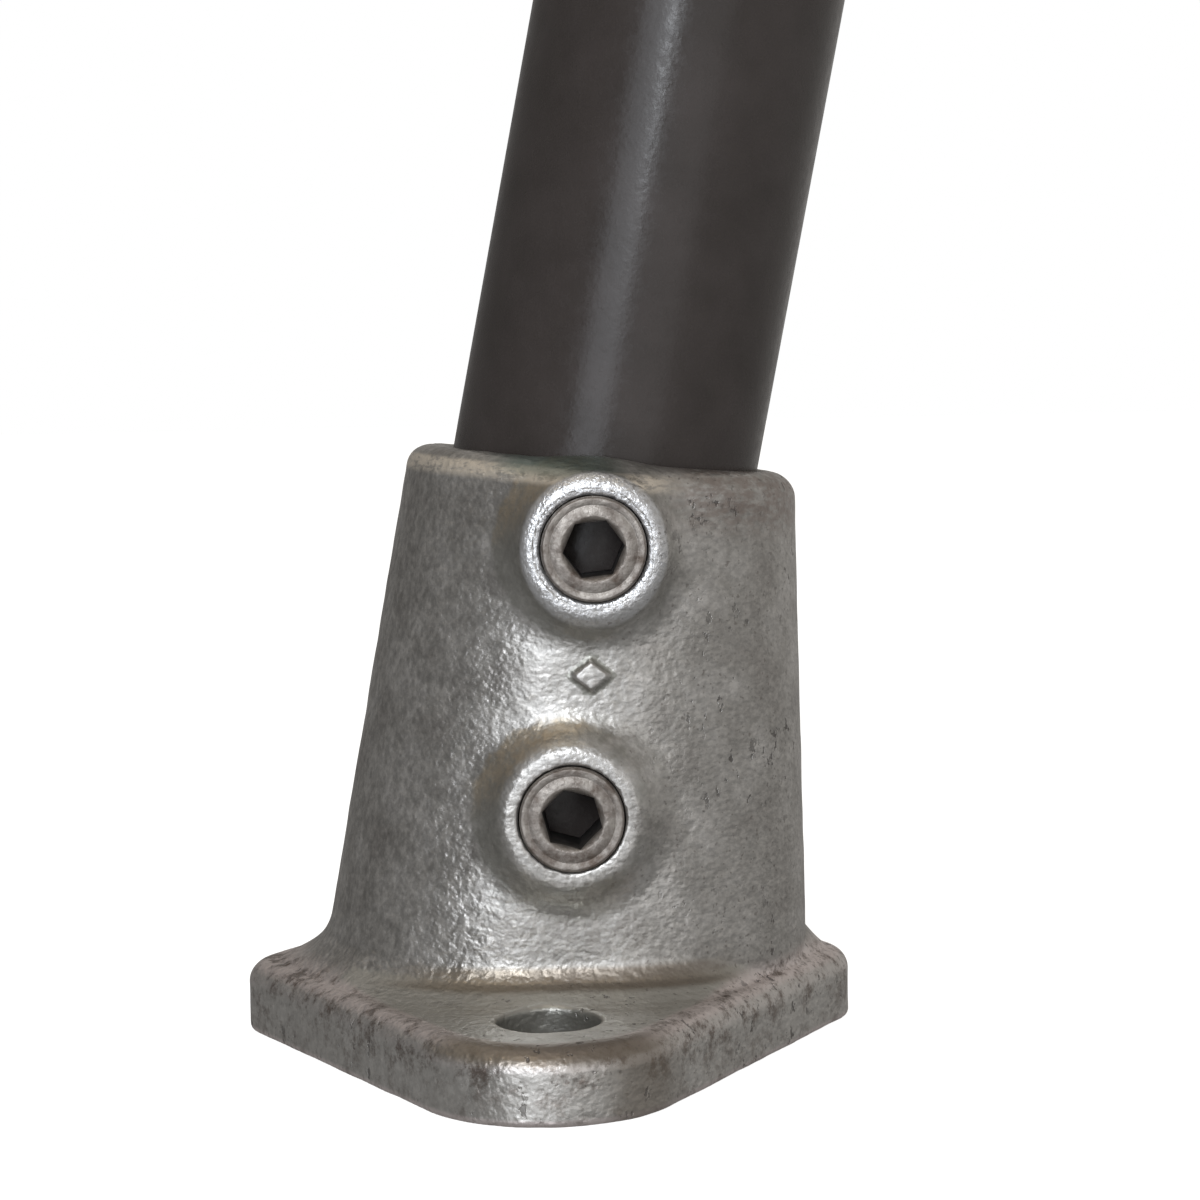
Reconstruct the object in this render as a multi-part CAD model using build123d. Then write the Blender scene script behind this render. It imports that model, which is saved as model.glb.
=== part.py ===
from build123d import *
import math
import os

# Sloping tube-clamp stanchion base: a hot-dip galvanised socket casting on a diamond flange,
# two hollow set screws, and a short length of the 48.3 mm upright that they clamp.
# Origin: centre of the flange on its underside. +X is the side the upright leans to,
# -Y is the side with the set screws, +Z is up. Millimetres and degrees.

# ---- upright and socket
TUBE_R = 24.15              # 48.3 mm tube, 1 1/2 inch nominal bore
TUBE_WALL = 3.2
LEAN = 11.5                 # full lean of the upright, to +X
MID_LEAN = LEAN / 2         # the rim and the line of screws are square to the middle lean
PIVOT = (10.2, 0.0, 87.9)   # the throat of the socket, which the upright tilts about
TUBE_ABOVE = 92.0           # tube length above the pivot
TUBE_BELOW = 82.0           # tube length below the pivot, clear of the ground
TUBE_DEBURR = 0.5
SOCKET_R = TUBE_R + 0.35
SOCKET_REACH = 98.0         # half length of the cutting bores, past both ends of the casting
RIM_ABOVE_PIVOT = 3.0
MOUTH_CHAMFER = 1.0

# ---- outside of the socket: walls drawn in from the foot to the rim
WALL_TOP_Z = 91.0           # the sloping and the upright side meet in one round here
WALL_END_Z = 99.0           # blank height before the rim is cut
LEFT_FOOT_X = -38.4
LEFT_SLOPE = 10.9
RIGHT_FOOT_X = 41.8
RIGHT_SLOPE = 0.6
FRONT_FOOT_Y = 32.4
FRONT_SLOPE = 0.9
MIN_STRAIGHT = 0.3          # straight left between the two round ends at the top
RIM_R = 31.2
RIM_ROUND = 3.4
RIM_TURN = 70               # degrees of the rim's round before it meets the walls

# ---- flange
FLANGE_A = 50.3             # half diagonals of the diamond before its corners are rounded
FLANGE_B = 85.2
SIDE_CORNER_R = 11.2
NOSE_R = 20.4
FLANGE_T = 11.2
FLANGE_EDGE_ROUND = 3.6
FLANGE_BASE_CHAMFER = 0.8
HOLE_Y = 46.0
HOLE_R = 7.5
HOLE_EDGE = 0.8

# ---- foot of the socket: a round down to a sloping shoulder, kept inside the flange's edge
FOOT_ROUND = 4.5
SHOULDER_Z = 13.9           # where the shoulder's slope would meet the walls
SHOULDER_SLOPE = 18.0
SHOULDER_REACH = 11.5
CLIP_LOW_Z = 7.4
CLIP_HIGH_Z = 19.0
CLIP_INSET = 9.8

# ---- seats for the bolt heads, sunk in the shoulder at the front and the back
SEAT_Z = 10.5
SEAT_INSET = 4.4
SEAT_END_Y = 20.0           # the seats stop here, short of the flange's side corners
SEAT_COVE_R = 23.0          # the floor sweeps up towards the walls
SEAT_COVE_REACH = 12.1
SEAT_FOOT_Z = 11.2
SEAT_FOOT_ROUND = 5.5
PROFILE_STEPS = 6

# ---- bosses and set screws
SCREW_X = 6.07
SCREW_Z = 58.4
SCREW_SPACING = 40.1        # centre to centre, measured upright
BOSS_FACE_Y = -34.6
BOSS_R = 11.0
BOSS_EDGE_ROUND = 1.7
BOSS_FLARE_FROM = 2.2       # depth below the boss face where it starts to widen
BOSS_FLARE = 3.6
BOSS_INTO_SOCKET = 3.0      # run past the socket's wall, which the socket then trims
TAPPED_R = 7.93
TAPPED_MOUTH = 0.25
SCREW_R = 7.86
SCREW_PROUD = 1.2
SCREW_TIP_GAP = 0.12        # from the tip to the tube
SCREW_CHAMFER = 0.6
SCREW_TIP_CHAMFER = 1.7
CUP_R = 5.6
CUP_DEPTH = 0.7
HEX_AF = 8.0
HEX_MOUTH_R = 4.8
UPPER_HEX_TURN = 5.9
LOWER_HEX_TURN = -15.4

# ---- raised foundry mark: a plain lozenge
MARK_X = 7.4
MARK_Z = 59.3
MARK_HALF_W = 3.0
MARK_HALF_H = 2.3
MARK_FACE_Y = -32.2
MARK_DEPTH = 3.0

ON_BASE = (Align.CENTER, Align.CENTER, Align.MIN)
HANGING = (Align.CENTER, Align.CENTER, Align.MAX)


def tan(degrees):
    return math.tan(math.radians(degrees))


def sin(degrees):
    return math.sin(math.radians(degrees))


def cos(degrees):
    return math.cos(math.radians(degrees))


def leaning(angle, above=0.0):
    """Plane on the pivot's axis, `above` along it, whose normal leans `angle` to +X."""
    origin = (PIVOT[0] + above * sin(angle), 0, PIVOT[2] + above * cos(angle))
    return Plane(origin=origin, x_dir=(cos(angle), 0, -sin(angle)), z_dir=(sin(angle), 0, cos(angle)))


# ------------------------------------------------------------------ flange
def diamond(inset, z):
    """The flange outline, drawn in by `inset`, at height z."""
    edge_distance = FLANGE_A * FLANGE_B / math.hypot(FLANGE_A, FLANGE_B)
    k = (edge_distance - inset) / edge_distance
    a, b = FLANGE_A * k, FLANGE_B * k
    plane = Plane.XY.offset(z)
    face = plane * make_face(Polyline((a, 0), (0, b), (-a, 0), (0, -b), close=True))
    sides = face.vertices().filter_by(lambda v: abs(v.X) > 1)
    face = fillet(sides, SIDE_CORNER_R - inset)
    noses = face.vertices().filter_by(lambda v: abs(v.X) < 1)
    return fillet(noses, NOSE_R - inset)


def make_flange():
    flange = extrude(diamond(0, 0), FLANGE_T)
    top = flange.faces().sort_by(Axis.Z)[-1]
    flange = fillet(top.edges(), FLANGE_EDGE_ROUND)
    base = flange.faces().sort_by(Axis.Z)[0]
    return chamfer(base.edges(), FLANGE_BASE_CHAMFER)


def make_bolt_hole(side):
    centre = Plane(origin=(0, side * HOLE_Y, 0))
    hole = centre * Cylinder(HOLE_R, FLANGE_T + FOOT_ROUND, align=ON_BASE)
    edge = Cone(HOLE_R, HOLE_R + 2 * HOLE_EDGE, 2 * HOLE_EDGE, align=ON_BASE)
    return hole + centre.offset(SEAT_Z - HOLE_EDGE) * edge


# ------------------------------------------------------------------ socket walls
def wall_section(z, grow=0.0, shift=0.0):
    """Outside of the socket at height z: two round ends joined by straight sides."""
    draught_z = min(z, WALL_TOP_Z)
    radius = FRONT_FOOT_Y - draught_z * tan(FRONT_SLOPE)
    left = LEFT_FOOT_X + draught_z * tan(LEFT_SLOPE) + radius + shift
    right = RIGHT_FOOT_X - draught_z * tan(RIGHT_SLOPE) - radius + shift
    if right - left < MIN_STRAIGHT:
        middle = (left + right) / 2
        left, right = middle - MIN_STRAIGHT / 2, middle + MIN_STRAIGHT / 2
    r = radius + grow
    outline = [
        Line((left, -r), (right, -r)),
        ThreePointArc((right, -r), (right + r, 0), (right, r)),
        Line((right, r), (left, r)),
        ThreePointArc((left, r), (left - r, 0), (left, -r)),
    ]
    return Plane.XY.offset(z) * make_face(outline)


def make_rim_envelope():
    """A round-shouldered top, square to the middle lean, that flares clear of the walls below."""
    shoulder_r = RIM_R - RIM_ROUND
    start = Vector(shoulder_r, RIM_ABOVE_PIVOT)
    centre = Vector(shoulder_r, RIM_ABOVE_PIVOT - RIM_ROUND)
    middle = centre + Vector(sin(RIM_TURN / 2), cos(RIM_TURN / 2)) * RIM_ROUND
    end = centre + Vector(sin(RIM_TURN), cos(RIM_TURN)) * RIM_ROUND
    skirt = end + Vector(cos(RIM_TURN), -sin(RIM_TURN)) * 2 * PIVOT[2]
    outline = [
        Line((0, skirt.Y), (0, RIM_ABOVE_PIVOT)),
        Line((0, RIM_ABOVE_PIVOT), start),
        ThreePointArc(start, middle, end),
        Line(end, skirt),
        Line(skirt, (0, skirt.Y)),
    ]
    profile = Plane.XZ * make_face(outline)
    return leaning(MID_LEAN) * revolve(profile, Axis.Z)


def make_walls():
    top_shift = (WALL_END_Z - WALL_TOP_Z) * tan(MID_LEAN)
    sections = [wall_section(0.0), wall_section(WALL_TOP_Z), wall_section(WALL_END_Z, shift=top_shift)]
    return loft(sections, ruled=True) & make_rim_envelope()


def flare(profile):
    """A solid round the walls whose outside follows (distance from the walls, height) points."""
    return loft([wall_section(z, grow=out) for out, z in profile], ruled=True)


def steps(last):
    return [last * i / PROFILE_STEPS for i in range(PROFILE_STEPS + 1)]


def foot_round_profile(radius, base_z, slope):
    """Points up a round that leaves a surface falling at `slope` and ends along the walls."""
    centre_z = base_z + radius * (1 - sin(slope)) / cos(slope)
    turns = reversed(steps(90 - slope))
    return [(radius * (1 - cos(turn)), centre_z - radius * sin(turn)) for turn in turns]


def make_shoulder():
    toe = (SHOULDER_REACH, SHOULDER_Z - SHOULDER_REACH * tan(SHOULDER_SLOPE))
    shoulder = flare([toe] + foot_round_profile(FOOT_ROUND, SHOULDER_Z, SHOULDER_SLOPE))
    clip = loft([diamond(0, CLIP_LOW_Z), diamond(CLIP_INSET, CLIP_HIGH_Z)], ruled=True)
    return shoulder & clip


def make_seats():
    """The two hollows for the bolt heads, each with a floor that sweeps up to the walls' foot."""
    cove = []
    for out in reversed(steps(SEAT_COVE_REACH)):
        rise = SEAT_COVE_R - math.sqrt(SEAT_COVE_R**2 - (SEAT_COVE_REACH - out) ** 2)
        cove.append((out, SEAT_Z + rise))
    foot = foot_round_profile(SEAT_FOOT_ROUND, SEAT_FOOT_Z, 0)
    walls = flare([(0, 0), (0, CLIP_HIGH_Z)])
    seats = extrude(diamond(SEAT_INSET, SEAT_Z), CLIP_HIGH_Z - SEAT_Z) - walls - flare(cove) - flare(foot)
    return seats - Box(2 * FLANGE_A, 2 * SEAT_END_Y, 2 * CLIP_HIGH_Z)


def make_socket():
    """The space the upright tilts in: its two extreme bores and the wedge between them."""
    space = leaning(0) * Cylinder(SOCKET_R, 2 * SOCKET_REACH)
    space += leaning(LEAN) * Cylinder(SOCKET_R, 2 * SOCKET_REACH / cos(LEAN))
    upright_plane = Plane(origin=PIVOT, x_dir=(1, 0, 0), z_dir=(0, -1, 0))
    for end in (SOCKET_REACH, -SOCKET_REACH):
        wedge = make_face(Polyline((0, 0), (0, end), (end * tan(LEAN), end), close=True))
        space += extrude(upright_plane * wedge, SOCKET_R, both=True)
    mouth = Cone(SOCKET_R, SOCKET_R + 2 * MOUTH_CHAMFER, 2 * MOUTH_CHAMFER)
    return space + leaning(MID_LEAN, RIM_ABOVE_PIVOT) * mouth


# ------------------------------------------------------------------ bosses and set screws
def boss_plane(side):
    """Plane on the boss face of the upper (+1) or lower (-1) screw, its normal outwards."""
    x = SCREW_X + side * SCREW_SPACING / 2 * tan(MID_LEAN)
    z = SCREW_Z + side * SCREW_SPACING / 2
    return Plane(origin=(x, BOSS_FACE_Y, z), x_dir=(1, 0, 0), z_dir=(0, -1, 0))


def inwards(radius, length):
    """A cylinder from the plane it is placed on, against the plane's normal."""
    return Cylinder(radius, length, align=HANGING)


def make_boss(side):
    depth = -BOSS_FACE_Y - SOCKET_R + BOSS_INTO_SOCKET
    boss = inwards(BOSS_R, depth)
    boss = fillet(boss.edges().sort_by(Axis.Z)[-1], BOSS_EDGE_ROUND)
    root = Cone(BOSS_R + BOSS_FLARE, BOSS_R, BOSS_FLARE, align=HANGING)
    above_rim = leaning(MID_LEAN, RIM_ABOVE_PIVOT) * Box(3 * RIM_R, 3 * RIM_R, RIM_R, align=ON_BASE)
    return boss_plane(side) * (boss + Plane.XY.offset(-BOSS_FLARE_FROM) * root) - above_rim


def make_tapping(side):
    mouth = Cone(TAPPED_R, TAPPED_R + 2 * TAPPED_MOUTH, 2 * TAPPED_MOUTH)
    return boss_plane(side) * (inwards(TAPPED_R, -BOSS_FACE_Y) + mouth)


def make_screw(side, hex_turn):
    length = -BOSS_FACE_Y + SCREW_PROUD - TUBE_R - SCREW_TIP_GAP
    screw = inwards(SCREW_R, length)
    ends = screw.edges().filter_by(GeomType.CIRCLE).sort_by(Axis.Z)
    screw = chamfer(ends[-1], SCREW_CHAMFER)
    screw = chamfer(screw.edges().filter_by(GeomType.CIRCLE).sort_by(Axis.Z)[0], SCREW_TIP_CHAMFER)
    tip = Plane.XY.offset(-length)
    cup = tip * Cone(CUP_R, CUP_R - 2 * CUP_DEPTH, 2 * CUP_DEPTH, align=ON_BASE)
    mouth_depth = 2 * (HEX_MOUTH_R - HEX_AF / 2)
    mouth = Cone(HEX_MOUTH_R - mouth_depth, HEX_MOUTH_R + mouth_depth, 2 * mouth_depth)
    hexagon = RegularPolygon(HEX_AF / 2, 6, major_radius=False, rotation=hex_turn)
    socket = extrude(hexagon.face(), length, dir=(0, 0, -1))
    return boss_plane(side).offset(SCREW_PROUD) * (screw - socket - cup - mouth)


def make_mark():
    plane = Plane(origin=(MARK_X, MARK_FACE_Y, MARK_Z), x_dir=(1, 0, 0), z_dir=(0, -1, 0))
    w, h = MARK_HALF_W, MARK_HALF_H
    lozenge = make_face(Polyline((w, 0), (0, h), (-w, 0), (0, -h), close=True))
    return extrude(plane * lozenge, -MARK_DEPTH)


# ------------------------------------------------------------------ whole pieces
def make_base_casting():
    casting = make_flange() + make_shoulder() - make_seats()
    casting += make_walls()
    casting += make_mark()
    for side in (1, -1):
        casting += make_boss(side)
        casting -= make_bolt_hole(side)
    for side in (1, -1):
        casting -= make_tapping(side)
    return casting - make_socket()


def make_upright():
    length = TUBE_ABOVE + TUBE_BELOW
    start = leaning(LEAN, -TUBE_BELOW)
    tube = Cylinder(TUBE_R, length, align=ON_BASE) - Cylinder(TUBE_R - TUBE_WALL, length, align=ON_BASE)
    ends = tube.edges().filter_by(GeomType.CIRCLE)
    return start * chamfer(ends, TUBE_DEBURR)


pieces = {
    "base_casting": make_base_casting(),
    "upper_set_screw": make_screw(1, UPPER_HEX_TURN),
    "lower_set_screw": make_screw(-1, LOWER_HEX_TURN),
    "upright_tube": make_upright(),
}

os.makedirs("parts", exist_ok=True)
for name, piece in pieces.items():
    solids = piece.solids()
    print(name, len(solids), "solid", round(piece.volume / 1000, 2), "cm3")
    export_step(solids[0] if len(solids) == 1 else Compound(solids), f"parts/{name}.step")
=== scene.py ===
import math

import bmesh
import bpy
import numpy as np
import openvdb
from mathutils import Matrix, Vector, noise


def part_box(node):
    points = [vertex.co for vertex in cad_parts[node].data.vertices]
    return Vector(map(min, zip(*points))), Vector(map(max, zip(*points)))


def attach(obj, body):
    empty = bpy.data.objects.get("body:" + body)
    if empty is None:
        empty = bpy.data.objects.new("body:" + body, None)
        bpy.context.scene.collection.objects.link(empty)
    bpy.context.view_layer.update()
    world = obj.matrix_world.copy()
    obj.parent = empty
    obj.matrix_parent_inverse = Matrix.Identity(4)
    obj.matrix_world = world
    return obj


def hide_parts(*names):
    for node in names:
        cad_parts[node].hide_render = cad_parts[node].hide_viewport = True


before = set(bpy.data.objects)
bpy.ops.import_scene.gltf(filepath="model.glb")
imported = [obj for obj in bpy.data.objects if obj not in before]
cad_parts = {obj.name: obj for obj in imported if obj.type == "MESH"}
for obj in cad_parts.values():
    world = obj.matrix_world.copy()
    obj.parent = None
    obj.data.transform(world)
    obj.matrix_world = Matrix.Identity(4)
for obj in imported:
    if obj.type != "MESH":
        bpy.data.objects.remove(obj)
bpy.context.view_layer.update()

# A galvanised stanchion base: a lumpy hot-dip casting, two hollow set screws and the coated
# upright that they clamp. Shapes are worked out in millimetres and meshed in metres.
# Origin: centre of the flange's underside. -Y is the side with the screws, +X the lean.

MM = 0.001


def tan(degrees):
    return math.tan(math.radians(degrees))


def sin(degrees):
    return math.sin(math.radians(degrees))


def cos(degrees):
    return math.cos(math.radians(degrees))


def node_box(node):
    """A CAD node's lowest and highest corner at rest, in millimetres."""
    return [np.array(corner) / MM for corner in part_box(node)]


# ---- driving dimensions, as in the CAD part; the rim's round, the bosses' roots and the screws'
# ---- faces are a little softer or wider here
LEAN = 11.5
MID_LEAN = LEAN / 2
PIVOT = np.array((10.2, 0.0, 87.9))
TUBE_R = 24.15
TUBE_WALL = 3.2
TUBE_ABOVE = 92.0
TUBE_BELOW = 82.0
SOCKET_R = 24.5
RIM_ABOVE_PIVOT = 3.0
RIM_ROUND = 3.8
MOUTH_ROUND = 1.1

WALL_TOP_Z = 91.0
LEFT_FOOT_X = -38.4
LEFT_SLOPE = 10.9
RIGHT_FOOT_X = 41.8
RIGHT_SLOPE = 0.6
FRONT_FOOT_Y = 32.4
FRONT_SLOPE = 0.9

FLANGE_A = 50.3
FLANGE_B = 85.2
SIDE_CORNER_R = 11.2
NOSE_R = 20.4
FLANGE_T = 11.2
FLANGE_EDGE_ROUND = 3.6
FLANGE_BASE_ROUND = 1.0
HOLE_Y = 46.0
HOLE_R = 7.5
HOLE_EDGE_ROUND = 1.0
SEAT_Z = 10.5
SEAT_INSET = 4.4
SEAT_END_Y = 20.0
SEAT_END_ROUND = 4.0
SEAT_EDGE_ROUND = 0.7
SEAT_COVE_R = 23.0
SEAT_COVE_REACH = 12.1
SEAT_FOOT_Z = 11.2
SEAT_FOOT_ROUND = 5.5

FOOT_ROUND = 4.5
SHOULDER_Z = 13.9
SHOULDER_SLOPE = 18.0
CLIP_LOW_Z = 7.4
CLIP_HIGH_Z = 19.0
CLIP_INSET = 9.8
CLIP_BLEND = 2.5

BOSS_FACE_Y = -34.6
BOSS_R = 11.0
BOSS_EDGE_ROUND = 1.7
BOSS_ROOT = 5.4
MOAT_R = 12.5              # the ring of painted shade round each boss: its middle, and half its width
MOAT_HALF_W = 1.9
MOAT_MOVE = (-0.6, 0.3)    # from the screw's axis to the ring's
MOAT_TOP_TURN = 35.0       # degrees to the left of straight up, where the ring's painted warm reflection is strongest
TAPPED_R = 7.93
TAPPED_EDGE_ROUND = 0.25

SCREW_FACE_R = 7.5
SCREW_TIP_CHAMFER = 1.7
THREAD_PITCH = 1.337
THREAD_DEPTH = 0.856
CUP_R = 5.6
CUP_DEPTH = 0.7
HEX_AF = 8.0
HEX_MOUTH_R = 4.8
HEX_TURNS = {"upper_set_screw": 5.9, "lower_set_screw": -15.4}

MARK_X = 7.4
MARK_Z = 59.3
MARK_HALF_W = 3.0
MARK_HALF_H = 2.3
MARK_FACE_Y = -32.2
MARK_ROUND = 0.45


# ------------------------------------------------------------------ distances, in millimetres
def round_union(a, b, r):
    """Both shapes, with a concave round of radius r where they meet."""
    return np.maximum(r, np.minimum(a, b)) - np.hypot(np.maximum(r - a, 0), np.maximum(r - b, 0))


def round_cut(a, b, r):
    """What both shapes share, with a convex round of radius r where they meet."""
    return np.minimum(-r, np.maximum(a, b)) + np.hypot(np.maximum(r + a, 0), np.maximum(r + b, 0))


def walls_outline(x, y, z):
    """Distance outside the socket's walls, level by level: two round ends and the straights between."""
    draught_z = np.minimum(z, WALL_TOP_Z)
    shift = np.maximum(z - WALL_TOP_Z, 0) * tan(MID_LEAN)
    radius = FRONT_FOOT_Y - draught_z * tan(FRONT_SLOPE)
    left = LEFT_FOOT_X + draught_z * tan(LEFT_SLOPE) + radius + shift
    right = RIGHT_FOOT_X - draught_z * tan(RIGHT_SLOPE) - radius + shift
    middle = (left + right) / 2
    left, right = np.minimum(left, middle), np.maximum(right, middle)
    return np.hypot(x - np.clip(x, left, right), y) - radius


def diamond_outline(x, y):
    """Distance outside the flange's outline: a diamond with its four corners rounded."""
    ax, ay = np.abs(x), np.abs(y)
    diagonal = math.hypot(FLANGE_A, FLANGE_B)
    nx, ny = FLANGE_B / diagonal, FLANGE_A / diagonal
    edge = FLANGE_A * ny * FLANGE_B / FLANGE_A
    nose_y = (edge - NOSE_R) / ny
    side_x = (edge - SIDE_CORNER_R) / nx
    along = ay * nx - ax * ny
    straight = ax * nx + ay * ny - edge
    nose = np.hypot(ax, ay - nose_y) - NOSE_R
    side = np.hypot(ax - side_x, ay) - SIDE_CORNER_R
    return np.where(along > nose_y * nx, nose, np.where(along < -side_x * ny, side, straight))


def socket_space(x, y, z):
    """The hole that the upright tilts in: round the tube as it leans, as it stands and in between."""
    off_axis = x - PIVOT[0]
    lean_x = (z - PIVOT[2]) * tan(LEAN)
    leaning = np.hypot((off_axis - lean_x) * cos(LEAN), y)
    between = off_axis - np.clip(off_axis, np.minimum(lean_x, 0), np.maximum(lean_x, 0))
    return np.minimum(leaning, np.hypot(between, y)) - SOCKET_R


def foot_and_flange(x, y, z, walls):
    """The flange, its raised border and two bolt seats, and the flare round the foot of the walls."""
    outline = diamond_outline(x, y)
    plate = round_cut(outline, z - FLANGE_T, FLANGE_EDGE_ROUND)
    shoulder = (z - SHOULDER_Z) * cos(SHOULDER_SLOPE) + walls * sin(SHOULDER_SLOPE)
    flare = round_union(walls, shoulder, FOOT_ROUND)
    slope = CLIP_INSET / (CLIP_HIGH_Z - CLIP_LOW_Z)
    clip = np.maximum(outline, (outline + (z - CLIP_LOW_Z) * slope) / math.hypot(1, slope))
    plate = np.minimum(plate, round_cut(flare, clip, CLIP_BLEND))
    to_flat = np.clip(SEAT_COVE_REACH - walls, 0, SEAT_COVE_REACH)
    cove = z - SEAT_Z - SEAT_COVE_R + np.sqrt(SEAT_COVE_R ** 2 - to_flat ** 2)
    floor = np.minimum(cove, round_union(walls, z - SEAT_FOOT_Z, SEAT_FOOT_ROUND))
    seat = round_cut(outline + SEAT_INSET, -floor, SEAT_EDGE_ROUND)
    seat = round_cut(seat, SEAT_END_Y - np.abs(y), SEAT_END_ROUND)
    plate = round_cut(plate, -seat, SEAT_EDGE_ROUND)
    return round_cut(plate, -z, FLANGE_BASE_ROUND)


def casting_distance(points):
    x, y, z = points.T
    walls = walls_outline(x, y, z)
    above_rim = (x - PIVOT[0]) * sin(MID_LEAN) + (z - PIVOT[2]) * cos(MID_LEAN) - RIM_ABOVE_PIVOT
    body = round_cut(walls, above_rim, RIM_ROUND)
    for low, high in screw_boxes.values():
        across = np.hypot(x - (low[0] + high[0]) / 2, z - (low[2] + high[2]) / 2)
        boss = round_cut(across - BOSS_R, BOSS_FACE_Y - y, BOSS_EDGE_ROUND)
        body = round_union(body, np.maximum(boss, y), BOSS_ROOT)
    lozenge = np.abs(x - MARK_X) / MARK_HALF_W + np.abs(z - MARK_Z) / MARK_HALF_H - 1
    lozenge = lozenge / math.hypot(1 / MARK_HALF_W, 1 / MARK_HALF_H)
    mark = round_cut(lozenge, MARK_FACE_Y - y, MARK_ROUND)
    body = round_union(body, np.maximum(mark, y), MARK_ROUND)
    casting = np.minimum(round_cut(body, -z, FLANGE_BASE_ROUND), foot_and_flange(x, y, z, walls))
    for side in (1, -1):
        hole = np.hypot(x, y - side * HOLE_Y) - HOLE_R
        casting = round_cut(casting, -hole, HOLE_EDGE_ROUND)
    for low, high in screw_boxes.values():
        across = np.hypot(x - (low[0] + high[0]) / 2, z - (low[2] + high[2]) / 2)
        tapping = np.maximum(across - TAPPED_R, y)
        casting = round_cut(casting, -tapping, TAPPED_EDGE_ROUND)
    return round_cut(casting, -socket_space(x, y, z), MOUTH_ROUND)


# ------------------------------------------------------------------ meshing
MARGIN_CELLS = 2            # of the grid, round the casting
GRID_BACKGROUND = 10.0      # the distance given to cells outside the grid
FLATTEST_SLOPE = 0.25       # keeps a step finite where the distance hardly changes
EVEN_ROUNDS = 2
EVEN_AMOUNT = 0.5
SETTLE_ROUNDS = 2


def surface_slope(distance, points, reach=0.02):
    slope = np.empty_like(points)
    for axis in range(3):
        step = np.zeros(3)
        step[axis] = reach
        slope[:, axis] = (distance(points + step) - distance(points - step)) / (2 * reach)
    return slope


def settle(distance, points, rounds):
    """Moves points straight onto the surface."""
    for _ in range(rounds):
        slope = surface_slope(distance, points)
        size = np.maximum((slope ** 2).sum(1), FLATTEST_SLOPE)
        points = points - slope * (distance(points) / size)[:, None]
    return points


def even_out(points, quads, amount):
    """Moves each point part of the way to the middle of its neighbours."""
    starts = quads.ravel()
    ends = np.roll(quads, -1, axis=1).ravel()
    count = np.bincount(starts, minlength=len(points)) + np.bincount(ends, minlength=len(points))
    middle = np.empty_like(points)
    for axis in range(3):
        total = np.bincount(starts, points[ends, axis], len(points))
        total += np.bincount(ends, points[starts, axis], len(points))
        middle[:, axis] = total / count
    return points + (middle - points) * amount


def surface_curve(distance, points, reach=0.7):
    """How sharply the surface bends, per millimetre: positive on ridges, negative in hollows."""
    total = np.zeros(len(points))
    for axis in range(3):
        step = np.zeros(3)
        step[axis] = reach
        total += distance(points + step) + distance(points - step) - 2 * distance(points)
    return total / reach ** 2


def halve_curved_faces(points, quads, curve, limit):
    """Splits the faces that bend more sharply than the limit, so small features get more points."""
    shape = bmesh.new()
    corners = [shape.verts.new(p) for p in points]
    faces = [shape.faces.new([corners[i] for i in quad]) for quad in quads]
    sharp = np.abs(curve[quads]).max(axis=1) > limit
    edges = {edge for face, wanted in zip(faces, sharp) if wanted for edge in face.edges}
    bmesh.ops.subdivide_edges(shape, edges=list(edges), cuts=1, use_grid_fill=True)
    bmesh.ops.triangulate(shape, faces=[face for face in shape.faces if len(face.verts) > 4])
    shape.verts.index_update()
    points = np.array([v.co for v in shape.verts], dtype=float)
    faces = [[v.index for v in face.verts] for face in shape.faces]
    shape.free()
    return points, faces


def mesh_from_distance(distance, low, high, step):
    """Quads over the surface where a distance function is zero."""
    before, after = MARGIN_CELLS * step, (MARGIN_CELLS + 1) * step
    axes = [np.arange(a - before, b + after, step) for a, b in zip(low, high)]
    values = np.empty([len(a) for a in axes], dtype=np.float32)
    for layer, x in enumerate(axes[0]):
        y, z = np.meshgrid(axes[1], axes[2], indexing="ij")
        points = np.column_stack([np.full(y.size, x), y.ravel(), z.ravel()])
        values[layer] = distance(points).reshape(y.shape)
    grid = openvdb.FloatGrid(GRID_BACKGROUND)
    grid.copyFromArray(values)
    points, quads = grid.convertToQuads()
    points = points.astype(float) * step + [a[0] for a in axes]
    quads = quads.astype(int)
    for _ in range(EVEN_ROUNDS):
        points = settle(distance, even_out(points, quads, EVEN_AMOUNT), SETTLE_ROUNDS)
    corners = points[quads]
    normals = np.cross(corners[:, 2] - corners[:, 0], corners[:, 3] - corners[:, 1])
    outward = surface_slope(distance, corners.mean(axis=1))
    if (normals * outward).sum() < 0:
        quads = quads[:, ::-1]
    return points, quads


def make_object(name, points, faces, materials, body, node):
    """A smooth-shaded piece from points in millimetres, riding on a body in place of its CAD node."""
    mesh = bpy.data.meshes.new(name)
    mesh.from_pydata((np.asarray(points) * MM).tolist(), [], [list(map(int, f)) for f in faces])
    mesh.validate()
    for material in materials:
        mesh.materials.append(material)
    mesh.polygons.foreach_set("use_smooth", [True] * len(mesh.polygons))
    piece = bpy.data.objects.new(name, mesh)
    bpy.context.scene.collection.objects.link(piece)
    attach(piece, body)
    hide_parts(node)
    return piece


def paint_second(piece, first, end):
    """Gives a run of faces the piece's second material."""
    slots = [int(first <= face.index < end) for face in piece.data.polygons]
    piece.data.polygons.foreach_set("material_index", slots)


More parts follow.
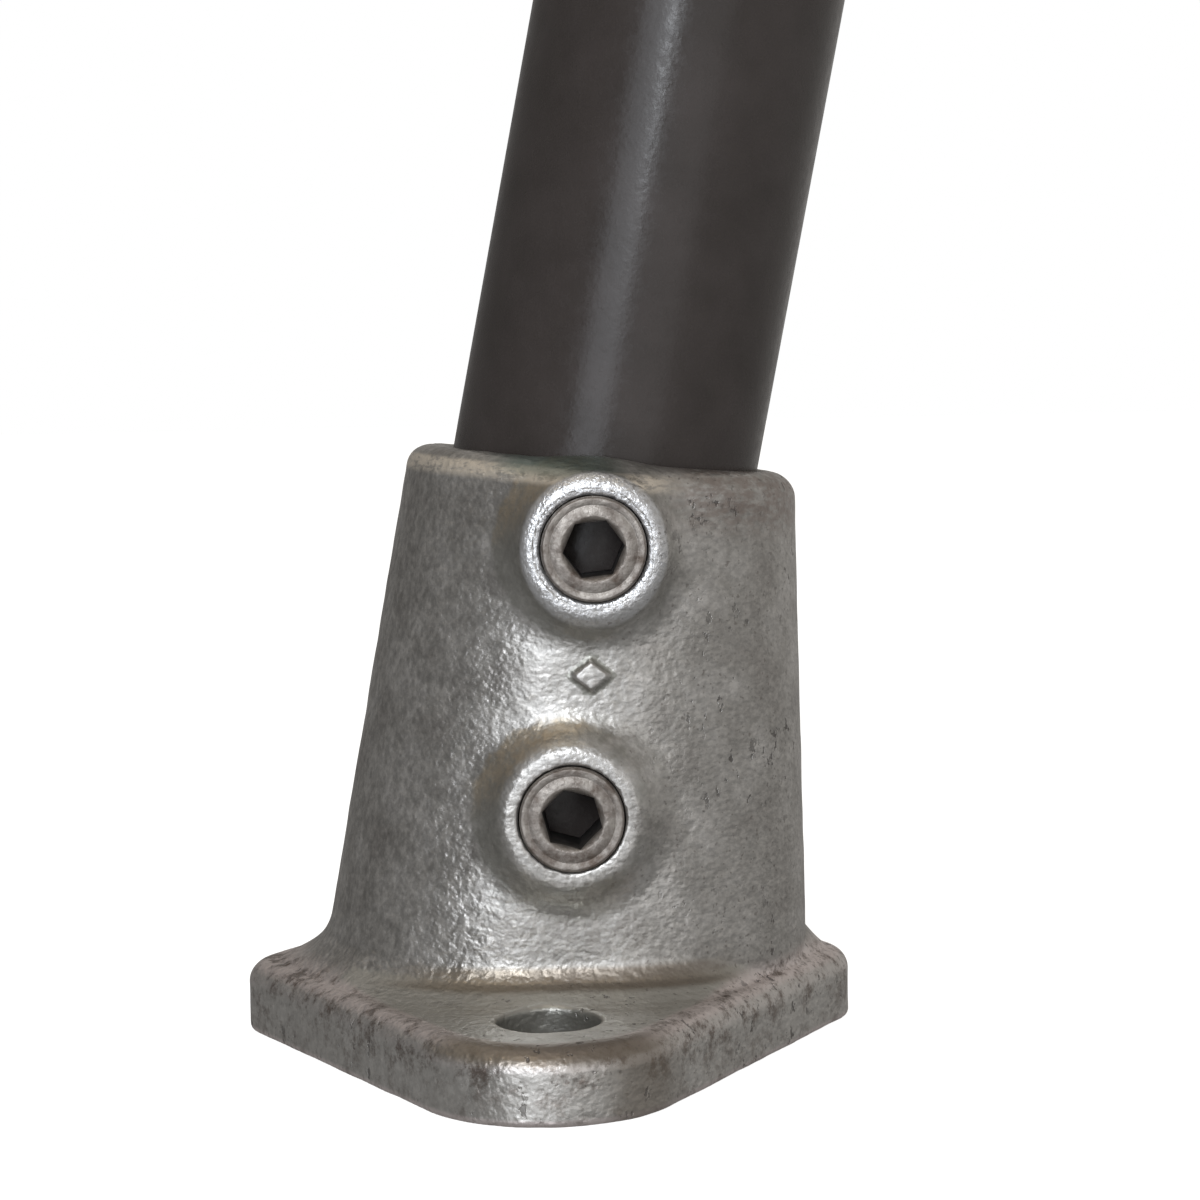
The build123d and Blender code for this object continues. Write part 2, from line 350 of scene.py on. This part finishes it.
# ------------------------------------------------------------------ materials
BOSS_HIGHLIGHT_Y = BOSS_FACE_Y + 1.4       # the rims of the bosses carry a painted highlight in front of this
ZINC_GREYS = [(0.3, (0.37, 0.352, 0.332)), (0.5, (0.46, 0.444, 0.42)), (0.7, (0.57, 0.552, 0.53))]
PAINTED_SHADE_ZINC = (0.25, 0.248, 0.22, 1)
MOAT_WARM_REFLECTION = (0.45, 0.37, 0.27, 1)
FLANGE_ZINC = (0.66, 0.64, 0.605, 1)
SEAT_ZINC = (0.53, 0.52, 0.475, 1)
BORDER_PINK_REFLECTION = (0.9, 0.79, 0.775, 1)
FLANGE_STAIN = (0.17, 0.135, 0.115, 1)
HOLE_SHADE = (0.16, 0.16, 0.145, 1)
RIM_WARM_HIGHLIGHT = (1.0, 0.91, 0.78, 1)
RIM_BROWN = (0.26, 0.2, 0.175, 1)
RIM_TEAL_REFLECTION = (0.12, 0.2, 0.18, 1)
FOOT_WARM_REFLECTION_LEFT = (0.31, 0.265, 0.21, 1)
FOOT_WARM_REFLECTION_RIGHT = (0.235, 0.198, 0.16, 1)
BOSS_RIM_HIGHLIGHT = (0.68, 0.68, 0.69, 1)
SPECK_COLOUR = (0.2, 0.18, 0.165, 1)
PIT_COLOUR = (0.1, 0.09, 0.085, 1)


class Shader:
    """A material being wired: add() makes a node, its inputs given as values or as sockets."""

    def __init__(self, name):
        self.material = bpy.data.materials.new(name)
        self.material.use_nodes = True
        self.tree = self.material.node_tree
        self.tree.nodes.clear()
        self.place = self.add("TexCoord").outputs["Object"]

    def add(self, kind, inputs=None, **settings):
        node = self.tree.nodes.new("ShaderNode" + kind)
        for key, value in settings.items():
            setattr(node, key, value)
        for key, value in (inputs or {}).items():
            if isinstance(value, bpy.types.NodeSocket):
                self.tree.links.new(value, node.inputs[key])
            else:
                node.inputs[key].default_value = value
        return node

    def stretched(self, scale, turn=(0, 0, 0)):
        mapping = self.add("Mapping", {"Vector": self.place, "Scale": scale, "Rotation": turn})
        return mapping.outputs["Vector"]

    def noise(self, size, detail=2.0, roughness=0.5, distortion=0.0, place=None):
        """Noise whose lumps are about `size` millimetres across."""
        inputs = {"Vector": place or self.place, "Scale": 1 / (size * MM), "Detail": detail}
        inputs.update({"Roughness": roughness, "Distortion": distortion})
        return self.add("TexNoise", inputs).outputs["Fac"]

    def ramp(self, value, low, high, to_low=0.0, to_high=1.0):
        inputs = {"Value": value, "From Min": low, "From Max": high}
        inputs.update({"To Min": to_low, "To Max": to_high})
        return self.add("MapRange", inputs, interpolation_type="SMOOTHSTEP").outputs["Result"]

    def rise(self, place, low, high):
        """From 0 at low to 1 at high, both in millimetres; low may be the larger of the two."""
        return self.ramp(place, low * MM, high * MM)

    def math(self, operation, a, b):
        return self.add("Math", {0: a, 1: b}, operation=operation).outputs[0]

    def times(self, *factors):
        product = factors[0]
        for factor in factors[1:]:
            product = self.math("MULTIPLY", product, factor)
        return product

    def inverse(self, value):
        return self.math("SUBTRACT", 1.0, value)

    def attribute(self, name):
        return self.add("Attribute", attribute_name=name).outputs["Fac"]

    def colours(self, value, stops):
        ramp = self.add("ValToRGB", {"Fac": value})
        elements = ramp.color_ramp.elements
        while len(elements) < len(stops):
            elements.new(0.5)
        for element, (position, colour) in zip(elements, stops):
            element.position = position
            element.color = (*colour, 1)
        return ramp.outputs["Color"]

    def mix(self, factor, a, b, blend="MIX"):
        node = self.add("MixRGB", {"Fac": factor, "Color1": a, "Color2": b}, blend_type=blend)
        return node.outputs["Color"]

    def bump(self, height, depth, normal=None):
        """A bump `depth` millimetres high where height goes from 0 to 1."""
        inputs = {"Height": height, "Distance": depth * MM, "Strength": 1.0}
        if normal:
            inputs["Normal"] = normal
        return self.add("Bump", inputs).outputs["Normal"]

    def finish(self, **inputs):
        sockets = {key.replace("_", " "): value for key, value in inputs.items()}
        shader = self.add("BsdfPrincipled", sockets)
        self.add("OutputMaterial", {"Surface": shader.outputs["BSDF"]})
        return self.material


def make_zinc():
    """Hot-dip zinc on an iron casting: mottled grey, lumpy, with stains and dark pits; painted shade in
    its hollows and painted highlights and reflections on its edges.
    """
    s = Shader("hot_dip_zinc")
    curve, seat = s.attribute("curve"), s.attribute("seat")
    moat_shade, moat_top = s.attribute("moat_shade"), s.attribute("moat_top")
    place = s.add("SeparateXYZ", {0: s.place}).outputs
    x, y, z = place["X"], place["Y"], place["Z"]
    flange = s.rise(z, FLANGE_T + 3, FLANGE_T)
    front = s.rise(y, 0, -4)

    mottle = s.noise(8, detail=4, roughness=0.55)
    fine = s.noise(1.1, detail=3, roughness=0.6)
    streaks = s.noise(1.3, detail=4, roughness=0.7, place=s.stretched((1, 1, 0.7)))
    grey = s.colours(mottle, ZINC_GREYS)
    speck = s.ramp(fine, 0.35, 0.7, 0.84, 1.09)
    streak = s.ramp(streaks, 0.35, 0.65, 0.82, 1.18)
    streak = s.math("ADD", s.times(streak, s.rise(x, 2, -14)), s.rise(x, -14, 2))
    speck = s.times(speck, streak)
    speck = s.add("CombineColor", {0: speck, 1: speck, 2: speck}).outputs[0]
    grey = s.mix(1.0, grey, speck, "MULTIPLY")

    # painted shade in the hollows, in the rings round the bosses and in the bolt holes; the flange is
    # paler, and its raised edges carry a painted pinkish reflection
    hollow_height = s.ramp(z, 1.5 * FLANGE_T * MM, 2.2 * FLANGE_T * MM, 0.1, 0.8)
    hollow = s.times(s.ramp(curve, -0.08, -0.35), hollow_height)
    ragged = s.math("ADD", moat_shade, s.ramp(s.noise(2.5, detail=4), 0.3, 0.7, -0.3, 0.3))
    moat_shade = s.ramp(ragged, 0.1, 0.85)
    grey = s.mix(s.math("MAXIMUM", hollow, s.times(moat_shade, 0.52)), grey, PAINTED_SHADE_ZINC)
    # a painted warm reflection on the upper part of each ring
    moat_warm_reflection = s.times(moat_shade, s.ramp(moat_top, 0.5, 0.95), s.ramp(streaks, 0.35, 0.6, 0.3, 1.0))
    grey = s.mix(s.times(moat_warm_reflection, 0.7), grey, MOAT_WARM_REFLECTION)
    # a painted pinkish reflection on the flange's top edges and rounded ridges
    border = s.math("MAXIMUM", s.rise(z, FLANGE_T - 2, FLANGE_T - 0.5), s.ramp(curve, 0.1, 0.7))
    border = s.times(border, flange, s.inverse(seat))
    grey = s.mix(s.times(flange, 0.45), grey, FLANGE_ZINC)
    grey = s.mix(s.times(seat, 0.6), grey, SEAT_ZINC)
    grey = s.mix(s.times(border, 0.6), grey, BORDER_PINK_REFLECTION)
    stain = s.times(s.ramp(s.noise(5, detail=7, roughness=0.8), 0.47, 0.63), flange)
    stain = s.times(stain, s.math("SUBTRACT", s.ramp(z, 2 * MM, 9 * MM, 0.5, 0.95), seat))
    grey = s.mix(stain, grey, FLANGE_STAIN)
    plan = s.add("CombineXYZ", {"X": x, "Y": s.math("ABSOLUTE", y, 0.0)}).outputs["Vector"]
    hole_axis = {0: plan, 1: (0, HOLE_Y * MM, 0)}
    across = s.add("VectorMath", hole_axis, operation="DISTANCE").outputs["Value"]
    in_hole = s.rise(across, HOLE_R + 0.5, HOLE_R + 0.05)
    grey = s.mix(s.times(in_hole, 0.5), grey, HOLE_SHADE)

    # a painted warm highlight along the rim, a faint painted teal reflection at the middle of its
    # front, brown to the right
    level = s.math("ADD", z, s.times(x, tan(MID_LEAN)))
    rim_level = PIVOT[2] + RIM_ABOVE_PIVOT / cos(MID_LEAN)
    smear = s.noise(3, detail=5, roughness=0.65, place=s.stretched((1, 1, 3)))
    # the painted warm highlight along the rim's crest
    top = s.rise(level, rim_level - 3.4, rim_level - 2.0)
    top = s.times(top, s.rise(level, rim_level, rim_level - 0.7))
    top = s.times(top, s.ramp(smear, 0.38, 0.52, 0.35, 1.0), s.rise(x, 24, 14))
    grey = s.mix(s.times(top, 0.95), grey, RIM_WARM_HIGHLIGHT)
    brown = s.times(s.rise(level, rim_level - 11, rim_level - 4), s.rise(x, 17, 25))
    brown = s.times(brown, s.ramp(smear, 0.35, 0.6))
    grey = s.mix(s.times(brown, front, 0.6), grey, RIM_BROWN)
    # the painted teal reflection at the middle of the rim's front
    green = s.times(s.rise(x, -9, -2), s.rise(x, 15, 8), front)
    green = s.times(green, s.rise(level, rim_level - 2.6, rim_level - 0.6))
    grey = s.mix(s.times(green, 0.6), grey, RIM_TEAL_REFLECTION)

    # a painted warm reflection, dim and brown, where the walls meet the flange, on its nose and to the
    # right of that; lighter to the left
    skirt = s.times(s.rise(z, 16.1, 14.9), s.rise(z, 12.0, 12.8), s.rise(y, -24, -33))
    nose = s.times(s.rise(z, 8, 9.6), s.rise(y, -52, -60), s.inverse(seat))
    nose_side = s.times(s.rise(x, 6, 12), s.rise(x, 34, 22), s.rise(y, -50, -60), 0.7)
    brown = s.times(s.math("MAXIMUM", skirt, s.math("MAXIMUM", nose, nose_side)), 0.88)
    grey = s.mix(brown, grey, s.mix(s.rise(x, -10, 4), FOOT_WARM_REFLECTION_LEFT, FOOT_WARM_REFLECTION_RIGHT))

    # a painted highlight on the rims of the bosses
    rim = s.times(s.rise(y, BOSS_HIGHLIGHT_Y, BOSS_HIGHLIGHT_Y - 0.8), s.ramp(curve, -0.1, 0.1))
    rim = s.times(rim, s.rise(z, 3 * FLANGE_T, PIVOT[2]))
    rim = s.times(rim, s.ramp(s.noise(0.8, detail=2), 0.3, 0.55, 0.6, 1.0))
    grey = s.mix(rim, grey, BOSS_RIM_HIGHLIGHT)

    specks = s.ramp(s.noise(0.8, detail=1), 0.66, 0.74)
    specks = s.times(specks, s.ramp(x, -10 * MM, 20 * MM, 0.1, 0.6))
    grey = s.mix(specks, grey, SPECK_COLOUR)
    spots = s.noise(1.9, detail=3, roughness=0.65, place=s.stretched((1, 1, 0.75), (0.3, 0.2, 0)))
    where = s.math("MAXIMUM", s.rise(x, 10, 28), s.times(flange, 0.9))
    pits = s.times(s.ramp(spots, 0.6, 0.66), where, s.ramp(s.noise(13, detail=2), 0.42, 0.58))
    colour = s.mix(s.times(pits, 0.75), grey, PIT_COLOUR)

    rough = s.math("ADD", s.ramp(s.noise(3.5, detail=3), 0.3, 0.7, 0.31, 0.43), s.times(pits, 0.25))
    lumps = s.noise(1.2, detail=1.5, roughness=0.5, place=s.stretched((1, 1, 1.2)))
    lumps = s.times(lumps, s.ramp(x, -16 * MM, 0.0, 1.9, 1.0))
    normal = s.bump(lumps, 0.17)
    normal = s.bump(s.times(rim, s.noise(0.75, detail=2)), 0.2, normal)
    normal = s.bump(fine, 0.04, normal)
    normal = s.bump(s.inverse(pits), 0.1, normal)
    return s.finish(Base_Color=colour, Metallic=0.8, Roughness=rough, Normal=normal)


def make_screw_steel():
    """Turned steel with a dull, stained skin."""
    s = Shader("turned_screw_steel")
    stain = s.noise(2.6, detail=6, roughness=0.7)
    stops = [(0.34, (0.15, 0.12, 0.1)), (0.46, (0.25, 0.222, 0.2)), (0.62, (0.37, 0.34, 0.31))]
    colour = s.colours(stain, stops)
    grain = s.noise(0.35, detail=2)
    dents = s.noise(1.6, detail=3, roughness=0.6)
    rough = s.ramp(stain, 0.3, 0.7, 0.56, 0.42)
    normal = s.bump(grain, 0.02, s.bump(dents, 0.2))
    return s.finish(Base_Color=colour, Metallic=0.75, Roughness=rough, Normal=normal)


def make_socket_shade():
    """The inside of the screws' hexagons: painted shade, near black and faintly mottled."""
    s = Shader("socket_shade")
    film = s.noise(2.5, detail=4, roughness=0.6)
    colour = s.colours(film, [(0.35, (0.02, 0.018, 0.017)), (0.65, (0.06, 0.054, 0.05))])
    return s.finish(Base_Color=colour, Metallic=0.3, Roughness=0.55, Normal=s.bump(film, 0.03))


def make_powder_coat():
    """Dark satin powder coat with a fine orange peel."""
    s = Shader("dark_powder_coat")
    cloud = s.noise(9, detail=3)
    colour = s.colours(cloud, [(0.3, (0.046, 0.039, 0.036)), (0.7, (0.060, 0.051, 0.048))])
    peel = s.noise(0.9, detail=2, roughness=0.55)
    rough = s.ramp(s.noise(1.6, detail=3), 0.3, 0.7, 0.2, 0.3)
    normal = s.bump(peel, 0.03)
    return s.finish(Base_Color=colour, Roughness=rough, Specular_IOR_Level=0.26, Normal=normal)


def make_raw_tube():
    """The upright's bore: dull grey tube steel with the streaks of its rolling."""
    s = Shader("raw_tube_steel")
    along_tube = s.stretched((1, 1, 0.06), (0, math.radians(-LEAN), 0))
    streak = s.noise(2.0, detail=4, roughness=0.6, place=along_tube)
    colour = s.colours(streak, [(0.3, (0.15, 0.137, 0.127)), (0.7, (0.28, 0.264, 0.25))])
    return s.finish(Base_Color=colour, Metallic=0.7, Roughness=0.5, Normal=s.bump(streak, 0.04))


zinc = make_zinc()
screw_steel = make_screw_steel()
socket_shade = make_socket_shade()
powder_coat = make_powder_coat()
raw_tube = make_raw_tube()


# ------------------------------------------------------------------ the casting
CASTING_STEP = 0.9
SHARP_CURVE = 0.3           # per millimetre; faces that bend more than this are halved
LUMP_SIZES = ((6.5, 0.09), (3.2, 0.05))    # across and deep, in millimetres
LUMP_SINK = 0.07

screw_boxes = {node: node_box(node) for node in HEX_TURNS}


def add_lumps(points, slope):
    """The uneven thickness of the zinc: the surface moved in and out along its normals."""
    normals = slope / np.linalg.norm(slope, axis=1)[:, None]
    height = np.full(len(points), -LUMP_SINK)
    for size, depth in LUMP_SIZES:
        height += [noise.noise(Vector(p)) * depth for p in points / size]
    return points + normals * height[:, None]


def make_casting():
    low, high = node_box("base_casting")
    points, quads = mesh_from_distance(casting_distance, low, high, CASTING_STEP)
    curve = surface_curve(casting_distance, points)
    points, faces = halve_curved_faces(points, quads, curve, SHARP_CURVE)
    points = settle(casting_distance, points, SETTLE_ROUNDS)
    curve = surface_curve(casting_distance, points)
    points = add_lumps(points, surface_slope(casting_distance, points))
    points = np.clip(points, low, high)
    piece = make_object(
        "base_casting_zinc", points, faces, [zinc], "base", "base_casting"
    )
    x, y, z = points.T
    seat = np.clip(-diamond_outline(x, y) - SEAT_INSET, 0, 1) * np.clip(np.abs(y) - SEAT_END_Y, 0, 1)
    seat = seat * (z < SHOULDER_Z)
    # a ring of painted shade round each boss, stronger on its left, and how far each point on it is
    # turned toward the ring's top
    moat_shade, moat_top = np.zeros(len(x)), np.zeros(len(x))
    for low, high in screw_boxes.values():
        right = x - (low[0] + high[0]) / 2 - MOAT_MOVE[0]
        up = z - (low[2] + high[2]) / 2 - MOAT_MOVE[1]
        off = np.abs(np.hypot(right, up) - MOAT_R)
        ring = np.clip(MOAT_HALF_W + 0.5 - off, 0, 1) * np.clip(0.75 - 0.5 * right / MOAT_R, 0, 1)
        moat_shade = np.maximum(moat_shade, np.where(y < 0, ring, 0))
        toward = (up * cos(MOAT_TOP_TURN) - right * sin(MOAT_TOP_TURN)) / MOAT_R
        moat_top = np.where(off < MOAT_R / 2, np.maximum(moat_top, toward), moat_top)
    for name, values in (("curve", curve), ("seat", seat), ("moat_shade", moat_shade), ("moat_top", moat_top)):
        piece.data.attributes.new(name, "FLOAT", "POINT").data.foreach_set("value", values)


# ------------------------------------------------------------------ rings and loops of points
def skin_loops(loops, closed=True):
    """Quads between successive loops of points, joined last to first when closed."""
    count = len(loops[0])
    faces = []
    for i in range(len(loops) if closed else len(loops) - 1):
        a, b = i * count, (i + 1) % len(loops) * count
        faces += [(a + j, a + (j + 1) % count, b + (j + 1) % count, b + j) for j in range(count)]
    return np.concatenate(loops), faces


# ------------------------------------------------------------------ set screws
SCREW_SIDES = 96
LOOPS_PER_PITCH = 8
# the loops across a screw's face, as radius and depth: a fine turned ring, then flat to the hexagon
FACE_RINGS = ((7.38, 0.0), (6.64, 0.0), (6.56, 0.06), (6.46, 0.06), (6.38, 0.0), (5.0, 0.0))


def make_screw(node, body):
    """A hollow set screw: pipe thread outside, hexagon right through, a cup at its tip."""
    low, high = screw_boxes[node]
    cx, cz = (low[0] + high[0]) / 2, (low[2] + high[2]) / 2
    outer_r = (high[0] - low[0]) / 2
    length = high[1] - low[1]
    turn = np.arange(SCREW_SIDES) / SCREW_SIDES * 360 + HEX_TURNS[node]
    across, up = np.cos(np.radians(turn)), np.sin(np.radians(turn))
    hex_r = HEX_AF / 2 / np.cos(np.radians((turn - HEX_TURNS[node]) % 60 - 30))

    def loop(radius, depth):
        radius, depth = radius + np.zeros(SCREW_SIDES), depth + np.zeros(SCREW_SIDES)
        return np.column_stack([cx + radius * across, low[1] + depth, cz + radius * up])

    loops = []
    for i in range(int(length / THREAD_PITCH * LOOPS_PER_PITCH), -1, -1):
        depth = min(i * THREAD_PITCH / LOOPS_PER_PITCH, length)
        phase = depth / THREAD_PITCH + turn / 360
        run_out = min(depth / THREAD_PITCH, 1)
        thread = outer_r - THREAD_DEPTH * run_out * (0.5 - 0.5 * np.cos(2 * math.pi * phase))
        ends = min(SCREW_FACE_R + depth, outer_r - SCREW_TIP_CHAMFER + length - depth)
        loops.append(loop(np.minimum(thread, ends), depth))
    for radius, depth in FACE_RINGS:
        loops.append(loop(radius, depth))
    loops.append(loop(HEX_MOUTH_R, 0.0))
    first_in_socket = len(loops) * SCREW_SIDES
    loops.append(loop(hex_r, HEX_MOUTH_R - hex_r))
    loops.append(loop(hex_r, length / 2))
    loops.append(loop(hex_r, length - CUP_DEPTH))
    loops.append(loop(CUP_R, length))
    points, faces = skin_loops(loops)
    name = node.replace("set_screw", "hollow_screw")
    piece = make_object(name, points, faces, [screw_steel, socket_shade], body, node)
    paint_second(piece, first_in_socket, first_in_socket + 2 * SCREW_SIDES)


# ------------------------------------------------------------------ upright tube
TUBE_SIDES = 192
TUBE_EDGE_ROUND = 0.5
TUBE_ROWS = 40


def make_upright():
    """The coated tube: a round-edged ring drawn along the leaning axis."""
    bore_r = TUBE_R - TUBE_WALL
    edge = TUBE_EDGE_ROUND
    profile = [(TUBE_R, h) for h in np.linspace(-TUBE_BELOW + edge, TUBE_ABOVE - edge, TUBE_ROWS)]
    arc = [math.radians(a) for a in (22.5, 45, 67.5, 90)]
    for a in arc:
        profile.append((TUBE_R - edge + edge * math.cos(a), TUBE_ABOVE - edge + edge * math.sin(a)))
    for a in [0, *arc]:
        profile.append((bore_r + edge - edge * math.sin(a), TUBE_ABOVE - edge + edge * math.cos(a)))
    outside_rows = len(profile)
    profile += [(bore_r, h) for h in np.linspace(TUBE_ABOVE - 2 * edge, -TUBE_BELOW + edge, TUBE_ROWS)]
    profile += [(bore_r + edge, -TUBE_BELOW), (TUBE_R - edge, -TUBE_BELOW)]
    turn = np.arange(TUBE_SIDES) / TUBE_SIDES * 2 * math.pi
    axis = np.array((sin(LEAN), 0, cos(LEAN)))
    across = np.array((cos(LEAN), 0, -sin(LEAN)))
    loops = []
    for radius, height in profile:
        ring = np.outer(np.cos(turn), across) + np.outer(np.sin(turn), (0, 1, 0))
        loops.append(PIVOT + axis * height + ring * radius)
    points, faces = skin_loops(loops)
    coats = [powder_coat, raw_tube]
    piece = make_object("coated_upright", points, faces, coats, "upright", "upright_tube")
    paint_second(piece, outside_rows * TUBE_SIDES, (len(loops) - 1) * TUBE_SIDES)


# ------------------------------------------------------------------ camera, light and floor
CAMERA_AT = (1.82, -434.2, 103.24)
CAMERA_YAW = 1.01
CAMERA_DOWN = 4.63
CAMERA_ROLL = -1.16
CAMERA_LENS = 81.52
CAMERA_SENSOR = 36.0
CAMERA_CLIP = 0.01
LIGHTS_AIM_Z = 0.06         # in metres
FLOOR_HALF_SIZE = 6.0       # in metres


def make_camera():
    data = bpy.data.cameras.new("camera")
    data.lens = CAMERA_LENS
    data.sensor_width = CAMERA_SENSOR
    data.clip_start = CAMERA_CLIP
    camera = bpy.data.objects.new("camera", data)
    bpy.context.scene.collection.objects.link(camera)
    flat = cos(CAMERA_DOWN)
    forward = Vector((sin(CAMERA_YAW) * flat, cos(CAMERA_YAW) * flat, -sin(CAMERA_DOWN)))
    level = Vector((cos(CAMERA_YAW), -sin(CAMERA_YAW), 0))
    upward = level.cross(forward)
    right = cos(CAMERA_ROLL) * level + sin(CAMERA_ROLL) * upward
    top = right.cross(forward)
    turn = Matrix((right, top, -forward)).transposed().to_4x4()
    camera.matrix_world = Matrix.Translation(Vector(CAMERA_AT) * MM) @ turn
    bpy.context.scene.camera = camera


def make_softbox(name, azimuth, elevation, distance, width, height, power, colour):
    """An area light aimed at the socket; azimuth 0 is from the front and negative is from the left."""
    aim = Vector((0, 0, LIGHTS_AIM_Z))
    back = Vector((sin(azimuth) * cos(elevation), -cos(azimuth) * cos(elevation), sin(elevation)))
    data = bpy.data.lights.new(name, "AREA")
    data.shape = "RECTANGLE"
    data.size, data.size_y = width, height
    data.energy = power
    data.color = colour
    light = bpy.data.objects.new(name, data)
    light.location = aim + back * distance
    light.rotation_euler = back.to_track_quat("Z", "Y").to_euler()
    light.visible_camera = False
    bpy.context.scene.collection.objects.link(light)


def make_world():
    """White behind the object; what it reflects is a dim room, darker to the left and warmer above."""
    world = bpy.data.worlds.new("studio")
    bpy.context.scene.world = world
    world.use_nodes = True
    tree = world.node_tree
    tree.nodes.clear()

    def add(kind, inputs=None, **settings):
        node = tree.nodes.new("ShaderNode" + kind)
        for key, value in settings.items():
            setattr(node, key, value)
        for key, value in (inputs or {}).items():
            if isinstance(value, bpy.types.NodeSocket):
                tree.links.new(value, node.inputs[key])
            else:
                node.inputs[key].default_value = value
        return node

    def ramp(value, low, high):
        return add("MapRange", {0: value, 1: low, 2: high}, interpolation_type="SMOOTHSTEP").outputs[0]

    direction = add("SeparateXYZ", {0: add("TexCoord").outputs["Generated"]}).outputs
    side = ramp(direction["X"], -0.7, 0.5)
    over = ramp(direction["Z"], 0.2, 0.9)
    room = add("MixRGB", {0: side, 1: (0.15, 0.146, 0.142, 1), 2: (0.45, 0.437, 0.42, 1)}).outputs[0]
    room = add("MixRGB", {0: over, 1: room, 2: (0.32, 0.295, 0.265, 1)}).outputs[0]
    under = ramp(direction["Z"], 0.0, -0.35)
    room = add("MixRGB", {0: under, 1: room, 2: (0.21, 0.206, 0.2, 1)}).outputs[0]
    dim = add("Background", {"Color": room, "Strength": 1.0}).outputs[0]
    white = add("Background", {"Color": (1, 1, 1, 1), "Strength": 1.0}).outputs[0]
    seen = add("LightPath").outputs["Is Camera Ray"]
    shader = add("MixShader", {0: seen, 1: dim, 2: white}).outputs[0]
    add("OutputWorld", {"Surface": shader})


def make_floor():
    """A plain pale floor, left out of the metal's reflections."""
    s = Shader("pale_floor")
    tint = s.noise(400, detail=1)
    colour = s.colours(tint, [(0.0, (0.84, 0.84, 0.84)), (1.0, (0.88, 0.88, 0.88))])
    glow = {"Emission_Color": (1, 1, 1, 1), "Emission_Strength": 0.85}
    material = s.finish(Base_Color=colour, Roughness=0.9, Specular_IOR_Level=0.1, **glow)
    far = FLOOR_HALF_SIZE
    corners = [(-far, -far, 0), (far, -far, 0), (far, far, 0), (-far, far, 0)]
    mesh = bpy.data.meshes.new("floor")
    mesh.from_pydata(corners, [], [(0, 1, 2, 3)])
    mesh.materials.append(material)
    floor = bpy.data.objects.new("floor", mesh)
    floor.visible_glossy = False
    floor.visible_diffuse = False
    floor.visible_shadow = False
    bpy.context.scene.collection.objects.link(floor)


make_casting()
make_screw("upper_set_screw", "upper_screw")
make_screw("lower_set_screw", "lower_screw")
make_upright()
make_camera()
make_world()
make_floor()
# name, azimuth, elevation, distance, width, height, power and colour
SOFTBOXES = (
    ("window", -16, 12, 0.8, 0.34, 0.55, 1.8, (0.88, 0.93, 1.0)),
    ("bounce", -14, -20, 0.8, 0.45, 0.25, 0.4, (0.92, 0.95, 1.0)),
    ("key", -7, 23, 0.9, 0.03, 0.32, 1.6, (0.9, 0.95, 1.0)),
    ("front", 18, 4, 0.9, 0.5, 0.6, 0.62, (0.97, 0.98, 1.0)),
    ("overhead", -14, 60, 0.7, 0.4, 0.12, 0.22, (1.0, 0.86, 0.66)),
)
for softbox in SOFTBOXES:
    make_softbox(*softbox)
bpy.context.scene.view_settings.view_transform = "Standard"
